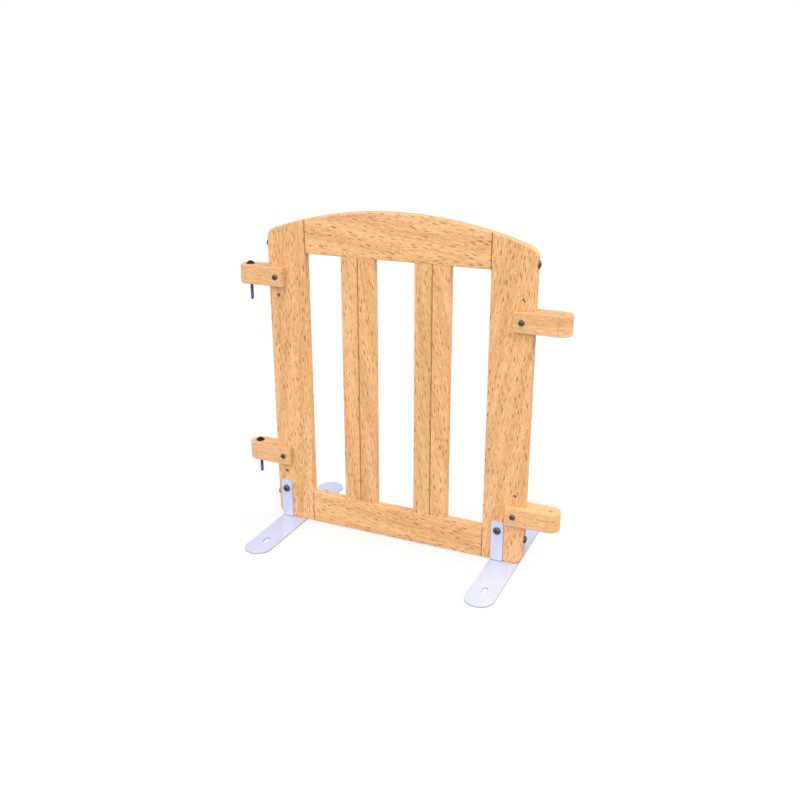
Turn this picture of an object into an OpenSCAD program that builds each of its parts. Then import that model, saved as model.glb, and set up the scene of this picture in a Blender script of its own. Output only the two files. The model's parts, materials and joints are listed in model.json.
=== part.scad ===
// Low wooden gate panel for a nursery. Two stiles and two rails hold four slats,
// a steel foot stands under each stile, and forked hinge blocks on both edges
// join the panel to the next one with two lift-out pivot bolts.
// Millimetres. The panel stands along X, its front faces -Y, and Z is up.
// The origin is on the floor under the middle of the panel.

/* [Panel] */
// Width over the two stiles
panel_w = 500; // [460:1:700]
// Height from the floor to the top of the arch
panel_h = 611; // [600:1:640]
// Thickness of the stiles and the rails
board_t = 15.4; // [14:0.1:18]
// Width of one stile
stile_w = 77; // [70:1:84]
// Height of the bottom rail
bottom_rail_h = 61.5; // [56:0.5:64]
// Height of the top rail where it is lowest, from its straight edge to the arch at a stile
top_rail_end_h = 61; // [56:0.5:64]
// Radius of the arched top edge
arch_r = 726; // [650:1:900]
// Radius of the four outer corners
corner_r = 20; // [10:1:24]

/* [Slats] */
// Width of one slat
slat_w = 32.8; // [28:0.1:36]
// Thickness of a slat
slat_t = 14.2; // [12:0.1:14.2]
// Distance from the middle of the panel to the middle of a pair of slats
pair_x = 70.2; // [60:0.1:80]
// Length of the tenon on each end of a slat
tenon_l = 12; // [8:1:16]
// Width of that tenon
tenon_w = 24; // [16:1:26]
// Thickness of that tenon
tenon_t = 6; // [4:0.5:7]

/* [Hinge blocks] */
// Height of one hinge block
block_h = 34.5; // [30:0.5:34.5]
// Thickness of a hinge block, which is also the width of its round end
block_t = 37; // [34:0.5:40]
// How far a block's fork reaches over the stile
fork_reach = 34.5; // [30:0.5:38]
// Distance from the stile's edge to the pivot axis
pivot_reach = 43; // [40:0.5:50]
// Distance from the stile's edge to the row of block holes
hole_inset = 19; // [16:0.5:22]
// Height of the lowest block hole above the floor
first_hole_z = 99; // [95:1:110]
// Spacing of the two block holes in a pair
hole_pitch = 35; // [35:0.5:40]
// Distance from the lower pair of block holes to the upper pair
hole_pair_rise = 350; // [300:1:352]

/* [Pivot bolts] */
// Nominal diameter of the pivot bolt and of the block bolts
bolt_d = 6; // [5:0.5:6]
// Diameter of the plain holes that those bolts pass through
bolt_hole_d = 6.5; // [6.5:0.1:6.8]
// How far the pivot bolt stands out below its block
pivot_out = 32; // [28:0.5:34]
// Length of the blue locking patch on the thread
patch_l = 11.5; // [8:0.5:12]
// Plain thread between the patch and the tip
patch_tip_gap = 3; // [2:0.5:4]
// Outside diameter of the washer under a pivot bolt's head
washer_d = 16; // [13:0.5:18]

/* [Feet] */
// Length of a foot from front to back
foot_l = 332; // [300:1:400]
// Width of a foot
foot_w = 52; // [48:1:60]
// Thickness of the foot's steel plate
foot_t = 2.5; // [2:0.1:3]
// Distance from the middle of the panel to the middle of a foot
foot_x = 216.5; // [212:0.5:218]
// Width of the upright tab
tab_w = 22.5; // [20:0.5:24]
// Height of the tab's top above the floor
tab_h = 81; // [78:0.5:84]
// Distance from the tab's top down to its bolt
tab_bolt_drop = 18.5; // [16:0.5:20]
// Length of a floor slot
slot_l = 20; // [14:1:26]
// Width of a floor slot
slot_w = 8; // [6:0.5:9]
// Distance from the panel to the middle of a floor slot
slot_y = 113.5; // [100:0.5:120]

/* [Hidden] */
$fn = 64;

// Sides of the large circle of the arch, enough to keep it within 0.01 mm of a true arc
arch_sides = 720;

LEFT = -1;
RIGHT = 1;
beech = [0.95, 0.76, 0.55];
dark_steel = [0.28, 0.28, 0.28];
black_steel = [0.1, 0.1, 0.11];
zinc = [0.72, 0.73, 0.75];
brass = [0.78, 0.65, 0.32];
powder_coat = [0.9, 0.91, 0.98];
locking_blue = [0.33, 0.3, 1];

// Small amounts: how far a cutter runs past a face, the play left around fitted parts,
// and the gap under a washer that rests on its block
past = 1;
play = 0.1;
rest_gap = 0.2;

// Panel outline
panel_z = foot_t;
edge_x = panel_w / 2;
inner_x = edge_x - stile_w;
arch_z = panel_h - arch_r;
corner_x = edge_x - corner_r;
corner_z = arch_z + sqrt(pow(arch_r - corner_r, 2) - pow(corner_x, 2));
bottom_rail_top = panel_z + bottom_rail_h;
top_rail_z = arch_z + sqrt(pow(arch_r, 2) - pow(inner_x, 2)) - top_rail_end_h;

// Frame joints: one connector bolt and two dowels where each rail meets a stile
rail_bolt_inset = 13.5;
rail_bolt_hole_d = 7;
rail_bolt_l = 110;
rail_bolt_head_d = 14;
rail_bolt_head_h = 3.5;
barrel_nut_d = 10;
barrel_nut_l = 12;
barrel_nut_inset = 27;
bolt_end_room = 8;
dowel_d = 8;
dowel_l = 35;
dowel_pitch = 16;
top_bolt_z = top_rail_z + rail_bolt_inset;
bottom_bolt_z = bottom_rail_top - rail_bolt_inset;

// Hinge blocks: the left pair uses the upper hole of each pair, the right pair the lower
pivot_x = edge_x + pivot_reach;
block_hole_x = edge_x - hole_inset;
fork_play = 0.15;
fork_edge_r = 3;
insert_l = 15;
insert_d = 10;
insert_flange_d = 12;
insert_flange_t = 1.5;
insert_bore_d = 5;

// Button heads and domed nuts, as [diameter or width over flats, height, key or dome width],
// and how far each bolt's end grips into its domed nut
small_head = [10.5, 3.3, 4];
large_head = [14, 4.4, 5];
small_nut = [10, 5, 9.4];
large_nut = [13, 6.5, 12.4];
dome_wall = 2;
block_bolt_grip = 7;
block_bolt_l = block_t + block_bolt_grip;
foot_bolt_d = 8;
foot_bolt_hole_d = 8.5;
foot_washer_d = 17;
washer_t = 1.6;
foot_bolt_grip = 9.5;
foot_bolt_l = foot_t + board_t + washer_t + foot_bolt_grip;

// Pivot bolt: a plain shank in the block, then the thread as a cylinder of its pitch diameter
thread_pitch = 1;
pivot_thread_d = bolt_d - 0.65 * thread_pitch;
pivot_shank_l = washer_t + rest_gap + block_h + 1;
pivot_l = washer_t + rest_gap + block_h + pivot_out;
tip_chamfer = 1;
patch_t = 0.18;
patch_play = 0.02;

// Foot
tab_x = -(foot_w - tab_w) / 2;
tab_y = -board_t / 2 - foot_t;
tab_corner_r = 3.5;
foot_bolt_z = tab_h - tab_bolt_drop;

function block_z(side, level) =
    first_hole_z + (level == "upper" ? hole_pair_rise : 0) + (side == LEFT ? hole_pitch : 0);

// ---- Helpers ----

// Mirrors its children to the left edge, or leaves them on the right
module on_side(side) {
    if (side == LEFT)
        mirror([1, 0, 0]) children();
    else
        children();
}

// Turns a flat outline in X and Z into a board centred on the panel's plane
module board(thickness) {
    rotate([90, 0, 0])
        linear_extrude(height = thickness, center = true)
            children();
}

// A round hole or bar along Y, centred on the panel's plane
module across(d, l, x, z) {
    translate([x, 0, z])
        rotate([90, 0, 0])
            cylinder(d = d, h = l, center = true);
}

// A round hole or bar that runs outward along X from the given place
module along(d, l, x, z) {
    translate([x, 0, z])
        rotate([0, 90, 0])
            cylinder(d = d, h = l);
}

// What a round corner takes off a square one, with the corner towards +X and +Y
module corner_waste(r) {
    difference() {
        square(r + past);
        circle(r);
    }
}

// A head that rises along +Z from the origin: a dome with a flat top and a hex socket
module button_head(size) {
    d = size[0];
    h = size[1];
    key = size[2];
    cap_h = h * 1.15;
    cap_r = (d * d / 4 + cap_h * cap_h) / (2 * cap_h);
    socket_depth = h * 0.6;
    difference() {
        rotate_extrude()
            intersection() {
                translate([0, cap_h - cap_r])
                    circle(r = cap_r);
                square([d, h]);
            }
        translate([0, 0, h - socket_depth])
            cylinder(d = key / cos(30), h = socket_depth + past, $fn = 6);
    }
}

// A button-head bolt: its head rises along +Z, its shank hangs along -Z
module button_bolt(size, d, l) {
    button_head(size);
    translate([0, 0, -l + tip_chamfer])
        cylinder(d = d, h = l - tip_chamfer);
    translate([0, 0, -l])
        cylinder(d1 = d - 2 * tip_chamfer, d2 = d, h = tip_chamfer);
}

// A domed nut that rises along +Z from its seat, with a blind hole for a bolt of diameter d
module domed_nut(size, d) {
    flats = size[0];
    hex_h = size[1];
    dome_d = size[2];
    hole_depth = hex_h + dome_d / 2 - dome_wall;
    difference() {
        union() {
            cylinder(d = flats / cos(30), h = hex_h, $fn = 6);
            translate([0, 0, hex_h])
                sphere(d = dome_d);
        }
        translate([0, 0, -past])
            cylinder(d = d + play, h = hole_depth + past);
        translate([0, 0, -dome_d])
            cube(2 * dome_d, center = true);
    }
}

module washer(d, bore_d) {
    difference() {
        cylinder(d = d, h = washer_t);
        translate([0, 0, -past])
            cylinder(d = bore_d, h = washer_t + 2 * past);
    }
}

// ---- Wooden frame ----

// The whole panel's outer edge: straight sides, arched top, round corners
module panel_outline() {
    run_out = [corner_x, corner_z - arch_z] / (arch_r - corner_r);
    difference() {
        intersection() {
            translate([-edge_x, panel_z])
                square([panel_w, panel_h]);
            translate([0, arch_z])
                circle(r = arch_r, $fn = arch_sides);
        }
        for (side = [LEFT, RIGHT])
            on_side(side) {
                translate([corner_x, panel_z + corner_r])
                    mirror([0, 1, 0])
                        corner_waste(corner_r);
                translate([corner_x, corner_z])
                    difference() {
                        polygon([
                            [0, 0],
                            [corner_r + past, 0],
                            [corner_r + past, 3 * corner_r],
                            3 * corner_r * run_out
                        ]);
                        circle(corner_r);
                    }
            }
    }
}

// Heights of the two dowels beside a connector bolt at height z
function dowel_heights(z, towards) = [for (step = [1, 2]) z + towards * step * dowel_pitch];

// Everything drilled across one right-hand joint between a stile and a rail
module joint_holes(z, towards) {
    along(rail_bolt_hole_d, panel_w, inner_x - barrel_nut_inset - bolt_end_room, z);
    for (h = dowel_heights(z, towards))
        along(dowel_d + play, dowel_l + 1, inner_x - (dowel_l + 1) / 2, h);
}

module stile(side) {
    color(beech)
        on_side(side)
            difference() {
                board(board_t)
                    intersection() {
                        panel_outline();
                        translate([inner_x, 0])
                            square([stile_w + past, panel_h + past]);
                    }
                joint_holes(top_bolt_z, 1);
                joint_holes(bottom_bolt_z, -1);
                for (pair = [0, 1], hole = [0, 1])
                    across(
                        bolt_hole_d, board_t + 2 * past, block_hole_x,
                        first_hole_z + pair * hole_pair_rise + hole * hole_pitch
                    );
                across(
                    foot_bolt_hole_d, board_t + 2 * past,
                    side * (side * foot_x + tab_x), foot_bolt_z
                );
            }
}

// What is cut into both ends of a rail: bolt and dowel holes, and the barrel nut's hole from behind
module rail_cuts(z, towards) {
    nut_front = -barrel_nut_l / 2 - play;
    for (side = [LEFT, RIGHT])
        on_side(side) {
            joint_holes(z, towards);
            translate([inner_x - barrel_nut_inset, nut_front, z])
                rotate([-90, 0, 0])
                    cylinder(d = barrel_nut_d + 2 * play, h = board_t);
        }
}

function slat_x(index) = (index < 3 ? -pair_x : pair_x) + (index % 2 == 1 ? -slat_w / 2 : slat_w / 2);

module mortises(z) {
    for (index = [1:4])
        translate([slat_x(index), 0, z])
            cube([tenon_w + 2 * play, tenon_t + 2 * play, 2 * (tenon_l + play)], center = true);
}

module top_rail() {
    color(beech)
        difference() {
            board(board_t)
                intersection() {
                    panel_outline();
                    translate([-inner_x, top_rail_z])
                        square([2 * inner_x, panel_h]);
                }
            rail_cuts(top_bolt_z, 1);
            mortises(top_rail_z);
        }
}

module bottom_rail() {
    color(beech)
        difference() {
            translate([-inner_x, -board_t / 2, panel_z])
                cube([2 * inner_x, board_t, bottom_rail_h]);
            rail_cuts(bottom_bolt_z, -1);
            mortises(bottom_rail_top);
        }
}

module slat(index) {
    slat_h = top_rail_z - bottom_rail_top;
    color(beech)
        translate([slat_x(index), 0, bottom_rail_top + slat_h / 2]) {
            cube([slat_w - 2 * play, slat_t, slat_h], center = true);
            cube([tenon_w, tenon_t, slat_h + 2 * tenon_l], center = true);
        }
}

module rail_bolt(side, z) {
    color(dark_steel)
        on_side(side)
            translate([edge_x, 0, z])
                rotate([0, 90, 0])
                    button_bolt([rail_bolt_head_d, rail_bolt_head_h, 4], bolt_d, rail_bolt_l);
}

module barrel_nut(side, z) {
    color(zinc)
        on_side(side)
            difference() {
                across(barrel_nut_d, barrel_nut_l, inner_x - barrel_nut_inset, z);
                along(bolt_d + play, 2 * barrel_nut_d, inner_x - barrel_nut_inset - barrel_nut_d, z);
            }
}

module dowels(side, z, towards) {
    color(beech)
        on_side(side)
            for (h = dowel_heights(z, towards))
                along(dowel_d, dowel_l, inner_x - dowel_l / 2, h);
}

// ---- Hinge blocks ----

// Seen from above: a straight body with a round end, forked to straddle the stile
module block_outline() {
    fork_x = edge_x - fork_reach;
    difference() {
        union() {
            translate([fork_x, -block_t / 2])
                square([pivot_x - fork_x, block_t]);
            translate([pivot_x, 0])
                circle(d = block_t);
        }
        translate([fork_x - past, -board_t / 2 - fork_play])
            square([fork_reach + past + fork_play, board_t + 2 * fork_play]);
        for (face = [0, 1])
            mirror([0, face, 0])
                translate([fork_x + fork_edge_r, block_t / 2 - fork_edge_r])
                    mirror([1, 0, 0])
                        corner_waste(fork_edge_r);
    }
}

module hinge_block(side, level) {
    z = block_z(side, level);
    color(beech)
        on_side(side)
            difference() {
                translate([0, 0, z - block_h / 2])
                    linear_extrude(height = block_h)
                        block_outline();
                across(bolt_hole_d, block_t + 2 * past, block_hole_x, z);
                translate([pivot_x, 0, z - block_h])
                    cylinder(d = bolt_hole_d, h = 2 * block_h);
                if (side == RIGHT)
                    translate([pivot_x, 0, z - block_h / 2]) {
                        translate([0, 0, -past])
                            cylinder(d = insert_d + 2 * play, h = insert_l + past);
                        translate([0, 0, -past])
                            cylinder(d = insert_flange_d + 2 * play, h = insert_flange_t + past);
                    }
            }
}

module block_bolt(side, level) {
    color(dark_steel)
        on_side(side)
            translate([block_hole_x, -block_t / 2, block_z(side, level)])
                rotate([90, 0, 0])
                    button_bolt(small_head, bolt_d, block_bolt_l);
}

module block_nut(side, level) {
    color(zinc)
        on_side(side)
            translate([block_hole_x, block_t / 2, block_z(side, level)])
                rotate([-90, 0, 0])
                    domed_nut(small_nut, bolt_d);
}

// A threaded bush in the lower half of a right-hand block, with its flange flush underneath
module threaded_insert(level) {
    color(brass)
        translate([pivot_x, 0, block_z(RIGHT, level) - block_h / 2])
            difference() {
                union() {
                    cylinder(d = insert_d, h = insert_l);
                    cylinder(d = insert_flange_d, h = insert_flange_t);
                }
                translate([0, 0, -past])
                    cylinder(d = insert_bore_d, h = insert_l + 2 * past);
            }
}

// ---- Pivot bolts ----

// Carries its children to the top of a left-hand block, on the pivot axis
module on_pivot(level, lift = 0) {
    translate([-pivot_x, 0, block_z(LEFT, level) + block_h / 2 + rest_gap + lift])
        children();
}

module pivot_washer(level) {
    color(black_steel)
        on_pivot(level)
            washer(washer_d, bolt_hole_d);
}

module pivot_bolt(level) {
    color(black_steel)
        on_pivot(level, washer_t) {
            button_head(small_head);
            translate([0, 0, -pivot_shank_l])
                cylinder(d = bolt_d, h = pivot_shank_l);
            translate([0, 0, -pivot_l + tip_chamfer])
                cylinder(d = pivot_thread_d, h = pivot_l - tip_chamfer);
            translate([0, 0, -pivot_l])
                cylinder(d1 = pivot_thread_d - 2 * tip_chamfer, d2 = pivot_thread_d, h = tip_chamfer);
        }
}

// A thin nylon sleeve bonded round the thread
module thread_patch(level) {
    inner_d = pivot_thread_d + 2 * patch_play;
    color(locking_blue)
        on_pivot(level, washer_t - pivot_l + patch_tip_gap)
            difference() {
                cylinder(d = inner_d + 2 * patch_t, h = patch_l);
                translate([0, 0, -past])
                    cylinder(d = inner_d, h = patch_l + 2 * past);
            }
}

// ---- Feet ----

// A floor slot, seen from above
module slot_outline() {
    run = slot_l - slot_w;
    square([slot_w, run], center = true);
    for (end = [-1, 1])
        translate([0, end * run / 2])
            circle(d = slot_w);
}

// A plate with round ends, and a tab cut out of its back half and bent upright before the stile
module foot(side) {
    run = foot_l - foot_w;
    color(powder_coat)
        translate([side * foot_x, 0, 0]) {
            linear_extrude(height = foot_t)
                difference() {
                    union() {
                        square([foot_w, run], center = true);
                        for (end = [-1, 1])
                            translate([0, end * run / 2])
                                circle(d = foot_w);
                    }
                    translate([tab_x - tab_w / 2 - past, tab_y + foot_t])
                        square([tab_w + past, tab_h]);
                    for (end = [-1, 1])
                        translate([0, end * slot_y])
                            slot_outline();
                }
            difference() {
                translate([tab_x, tab_y + foot_t, 0])
                    rotate([90, 0, 0])
                        linear_extrude(height = foot_t)
                            difference() {
                                translate([-tab_w / 2, 0])
                                    square([tab_w, tab_h]);
                                for (edge = [0, 1])
                                    mirror([edge, 0, 0])
                                        translate([tab_w / 2 - tab_corner_r, tab_h - tab_corner_r])
                                            corner_waste(tab_corner_r);
                            }
                across(foot_bolt_hole_d, board_t + 4 * foot_t, tab_x, foot_bolt_z);
            }
        }
}

module foot_bolt(side) {
    color(dark_steel)
        translate([side * foot_x + tab_x, tab_y, foot_bolt_z])
            rotate([90, 0, 0])
                button_bolt(large_head, foot_bolt_d, foot_bolt_l);
}

module foot_washer(side) {
    color(zinc)
        translate([side * foot_x + tab_x, board_t / 2, foot_bolt_z])
            rotate([-90, 0, 0])
                washer(foot_washer_d, foot_bolt_hole_d);
}

module foot_nut(side) {
    color(zinc)
        translate([side * foot_x + tab_x, board_t / 2 + washer_t, foot_bolt_z])
            rotate([-90, 0, 0])
                domed_nut(large_nut, foot_bolt_d);
}

// ---- Nodes ----

stile(LEFT);  // left_stile
stile(RIGHT);  // right_stile
top_rail();
bottom_rail();
for (index = [1:4])
    slat(index);

for (side = [LEFT, RIGHT], level = ["upper", "lower"]) {
    name = str(level, side == LEFT ? "_left" : "_right", "_block");
    hinge_block(side, level);
    block_bolt(side, level);
    block_nut(side, level);
}

for (side = [LEFT, RIGHT], end = ["top", "bottom"]) {
    name = str(end, side == LEFT ? "_left" : "_right");
    z = end == "top" ? top_bolt_z : bottom_bolt_z;
    towards = end == "top" ? 1 : -1;
    rail_bolt(side, z);
    barrel_nut(side, z);
    dowels(side, z, towards);
}

for (side = [LEFT, RIGHT]) {
    name = side == LEFT ? "left_foot" : "right_foot";
    foot(side);
    foot_bolt(side);
    foot_washer(side);
    foot_nut(side);
}

for (level = ["upper", "lower"]) {
    pivot_bolt(level);
    pivot_washer(level);
    thread_patch(level);
    threaded_insert(level);
}
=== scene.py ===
"""A low nursery gate panel: lacquered beech boards and hinge blocks, powder-coated feet, and plated bolts."""
import json
import math
import random

import bmesh
import bpy
from mathutils import Matrix, Vector


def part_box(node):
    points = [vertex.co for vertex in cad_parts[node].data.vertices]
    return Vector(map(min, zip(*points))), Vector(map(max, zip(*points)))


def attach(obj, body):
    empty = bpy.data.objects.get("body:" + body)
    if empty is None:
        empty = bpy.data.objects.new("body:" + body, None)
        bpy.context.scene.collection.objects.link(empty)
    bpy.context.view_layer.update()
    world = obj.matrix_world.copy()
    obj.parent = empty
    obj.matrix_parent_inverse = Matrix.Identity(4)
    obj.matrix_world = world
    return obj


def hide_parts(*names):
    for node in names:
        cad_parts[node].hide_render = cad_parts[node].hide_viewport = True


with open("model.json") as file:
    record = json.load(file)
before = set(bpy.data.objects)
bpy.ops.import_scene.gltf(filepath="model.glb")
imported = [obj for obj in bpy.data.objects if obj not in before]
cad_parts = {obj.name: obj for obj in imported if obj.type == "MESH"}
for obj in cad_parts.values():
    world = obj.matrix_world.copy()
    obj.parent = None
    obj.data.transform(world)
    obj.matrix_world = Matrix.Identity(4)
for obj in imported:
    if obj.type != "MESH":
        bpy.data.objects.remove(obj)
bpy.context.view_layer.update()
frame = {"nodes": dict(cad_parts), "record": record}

MM = 0.001
LEFT, RIGHT = -1, 1
SIDES = {"left": LEFT, "right": RIGHT}
LEVELS = ("upper", "lower")
ALONG_X, ALONG_Y, ALONG_Z = 0, 1, 2

slot_of = {part["node"]: part["material_slot"] for part in frame["record"]["subparts"]}
body_of = {
    node: body
    for body, nodes in frame["record"]["behaviour"]["bodies"].items()
    for node in nodes
}

# ---- Sizes, from the frame and from the maker's standard radii ----

ARCH_R = 726 * MM
CORNER_R = 20 * MM
edge_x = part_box("right_stile")[1].x
inner_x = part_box("right_stile")[0].x
top_low, top_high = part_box("top_rail")
bottom_low, bottom_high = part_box("bottom_rail")
panel_z = bottom_low.z
arch_z = top_high.z - ARCH_R
face_y = top_high.y

# How far each kind of long edge is rounded over
RAIL_EASE = 3 * MM
STILE_EASE = 2.4 * MM
JOINT_EASE = 1.5 * MM
SLAT_EASE = 1.7 * MM
BLOCK_EASE = 0.9 * MM
FORK_EASE = 0.4 * MM
HOLE_EASE = 0.5 * MM
STEEL_EASE = 0.5 * MM

# Button heads as (diameter, height, key), domed nuts as (width over flats, height of the hexagon, dome)
SMALL_HEAD = (10.5 * MM, 3.3 * MM, 4 * MM)
RAIL_HEAD = (14 * MM, 3.5 * MM, 4 * MM)
FOOT_HEAD = (14 * MM, 4.4 * MM, 5 * MM)
SMALL_NUT = (10 * MM, 5 * MM, 9.4 * MM)
FOOT_NUT = (13 * MM, 6.5 * MM, 12.4 * MM)

# The M6 thread: outer radius, depth and pitch, and how much of a pitch its crest and root are flat
THREAD_R = 2.96 * MM
THREAD_DEPTH = 0.6 * MM
PITCH = 1 * MM
CREST_FLAT = 0.15
ROOT_FLAT = 0.25
ROWS_PER_PITCH = 8

# How far the locking patch stands above the thread's crests
PATCH_T = 0.1 * MM

BOLT_R = 3 * MM
BOLT_HOLE_R = 3.25 * MM
FOOT_BOLT_R = 4 * MM

# Block bolts' distance in from the stile's edge, joinery, and the insert and barrel nut in the wood
HOLE_INSET = 19 * MM
SCRIBE = 1.3 * MM
TENON_W = 24 * MM
TENON_T = 6 * MM
FORK_PLAY = 0.15 * MM
FORK_END_R = 3 * MM
END_LINE = 1 * MM
INSERT_R = 5 * MM
INSERT_FLANGE = 1.5 * MM
SLOT_W = 1.6 * MM
SLOT_DEPTH = 1.4 * MM

# The feet
PLATE_T = 2.5 * MM
TAB_W = 22.5 * MM
TAB_CORNER_R = 3.5 * MM
BEND_R = 1.1 * MM
SLOT_Y = 113.5 * MM
FLOOR_SLOT_L = 20 * MM
FLOOR_SLOT_W = 8 * MM

# How far a cut runs past the face that it starts from
PAST = 1 * MM


# ---- Shapes ----

def arc(centre, radius, start, end, steps):
    """Points along an arc from one angle to another, in degrees, with both ends."""
    points = []
    for step in range(steps + 1):
        angle = math.radians(start + (end - start) * step / steps)
        points.append((centre[0] + radius * math.cos(angle), centre[1] + radius * math.sin(angle)))
    return points


def slab(outline, low, high, upright):
    """A flat outline made solid between two levels: along Y when upright, otherwise along Z."""
    bm = bmesh.new()
    rings = []
    for level in (low, high):
        places = [(a, level, b) if upright else (a, b, level) for a, b in outline]
        rings.append([bm.verts.new(place) for place in places])
    first, last = rings
    bm.faces.new(first)
    bm.faces.new(last)
    for i in range(len(outline)):
        j = (i + 1) % len(outline)
        bm.faces.new((first[i], first[j], last[j], last[i]))
    bmesh.ops.recalc_face_normals(bm, faces=bm.faces)
    return bm


def box_between(low, high):
    outline = [(low[0], low[1]), (high[0], low[1]), (high[0], high[1]), (low[0], high[1])]
    return slab(outline, low[2], high[2], upright=False)


def turned(stations, sides=48, closed=False):
    """Rings stacked along Z and joined. A station is (radius, height) or (radius, height, edge wear), and the
    edge wear mark is also where some finishes paint a highlight.

    A radius may be a function of the angle. A radius of 0 closes an end, and closed joins the last ring
    to the first. Each point keeps its radius, height and angle in the layer called lathe.
    """
    bm = bmesh.new()
    lathe = bm.verts.layers.float_vector.new("lathe")
    edge_wear_and_shading = bm.verts.layers.float.new("edge_wear_and_shading")
    rings = []
    for station in stations:
        radius, height = station[:2]
        ring = []
        for side in range(1 if radius == 0 else sides):
            angle = 2 * math.pi * side / sides
            r = radius(angle) if callable(radius) else radius
            vert = bm.verts.new((r * math.cos(angle), r * math.sin(angle), height))
            vert[lathe] = (r, height, angle)
            vert[edge_wear_and_shading] = station[2] if len(station) > 2 else 0
            ring.append(vert)
        rings.append(ring)
    pairs = list(zip(rings, rings[1:]))
    if closed:
        pairs.append((rings[-1], rings[0]))
    for lower, upper in pairs:
        for i in range(sides):
            j = (i + 1) % sides
            corners = [lower[i % len(lower)], lower[j % len(lower)]]
            corners += [upper[j % len(upper)], upper[i % len(upper)]]
            bm.faces.new(dict.fromkeys(corners))
    bmesh.ops.recalc_face_normals(bm, faces=bm.faces)
    return bm


def stood(bm, place, direction):
    """Moves a turned shape so that its +Z points along direction from place."""
    turn = Vector(direction).to_track_quat("Z", "Y").to_matrix().to_4x4()
    bm.transform(Matrix.Translation(place) @ turn)
    return bm


def hexagon(across_flats):
    """The radius of a hexagon at an angle, with a corner at angle 0."""
    def radius(angle):
        return across_flats / 2 / math.cos((angle % (math.pi / 3)) - math.pi / 6)
    return radius


def drill(place, direction, radius, length):
    """What a drill and a light countersink on both faces take out, centred on place."""
    half = length / 2
    flare = radius + HOLE_EASE + PAST
    stations = [
        (0, -half - PAST), (flare, -half - PAST), (radius, -half + HOLE_EASE),
        (radius, half - HOLE_EASE), (flare, half + PAST), (0, half + PAST),
    ]
    return stood(turned(stations, 40), place, direction)


def linked(name, bm):
    mesh = bpy.data.meshes.new(name)
    bm.to_mesh(mesh)
    bm.free()
    obj = bpy.data.objects.new(name, mesh)
    bpy.context.scene.collection.objects.link(obj)
    return obj


def joined(shapes):
    """Several shapes as one."""
    whole = bmesh.new()
    for shape in shapes:
        mesh = bpy.data.meshes.new("part")
        shape.to_mesh(mesh)
        shape.free()
        whole.from_mesh(mesh)
        bpy.data.meshes.remove(mesh)
    return whole


def applied(obj):
    """The object with its modifiers made part of its mesh."""
    shape = bpy.data.meshes.new_from_object(obj.evaluated_get(bpy.context.evaluated_depsgraph_get()))
    obj.modifiers.clear()
    rough = obj.data
    obj.data = shape
    shape.name = obj.name
    bpy.data.meshes.remove(rough)
    return obj


def worked(name, bm, cuts=(), radius_of=None, segments=4):
    """Rounds the edges of a shape over, drills the cuts out of it, and returns it as one object.

    radius_of(edge) says how far each edge is rounded over, before the cuts are made.
    """
    if radius_of:
        weight = bm.edges.layers.float.new("bevel_weight_edge")
        radii = {edge: radius_of(edge) for edge in bm.edges}
        widest = max(radii.values())
        for edge, radius in radii.items():
            edge[weight] = radius / widest
    obj = linked(name, bm)
    if radius_of:
        rounding = obj.modifiers.new("rounding", "BEVEL")
        rounding.limit_method = "WEIGHT"
        rounding.width = widest
        rounding.segments = segments
    drills = None
    if cuts:
        drills = linked(name + "_cuts", joined(cuts))
        cutting = obj.modifiers.new("cutting", "BOOLEAN")
        cutting.operation = "DIFFERENCE"
        cutting.solver = "EXACT"
        cutting.object = drills
    applied(obj)
    if drills:
        bpy.data.objects.remove(drills)
    return obj


def shown(obj, node, finish, crease=40):
    """Makes a piece stand for its CAD node, with that node's body and material slot."""
    obj.data.materials.clear()
    obj.data.materials.append(finish)
    obj.data.shade_smooth()
    obj.data.set_sharp_from_angle(angle=math.radians(crease))
    shading = obj.modifiers.new("even_shading", "WEIGHTED_NORMAL")
    shading.keep_sharp = True
    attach(obj, body_of[node])
    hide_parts(node)
    return obj


# ---- Finishes ----

def colour(code):
    """A colour written as sRGB hex, as linear light."""
    linear = []
    for start in (1, 3, 5):
        c = int(code[start:start + 2], 16) / 255
        linear.append(c / 12.92 if c <= 0.04045 else ((c + 0.055) / 1.055) ** 2.4)
    return (*linear, 1)


def add(tree, kind, inputs=None, **settings):
    """Adds one node. settings are its fields; inputs are values, or other nodes' sockets to link."""
    node = tree.nodes.new("ShaderNode" + kind)
    for field, value in settings.items():
        setattr(node, field, value)
    for socket, value in (inputs or {}).items():
        if isinstance(value, bpy.types.NodeSocket):
            tree.links.new(value, node.inputs[socket])
        else:
            node.inputs[socket].default_value = value
    return node


def blank(name):
    """An empty material and its node tree."""
    finish = bpy.data.materials.new(name)
    finish.use_nodes = True
    finish.node_tree.nodes.clear()
    return finish, finish.node_tree


# How much later each column of flecks starts than the last, as a part of their spacing
COLUMN_STAGGER = 0.4
# How strongly the painted shade and stain along a joint line show
JOINT_SHADE_AND_STAIN = 0.34

# A colour Mix node's sockets have no names of their own: factor, first and second colour, and result
FACTOR, FIRST, SECOND, MIXED = 0, 6, 7, 2


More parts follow.
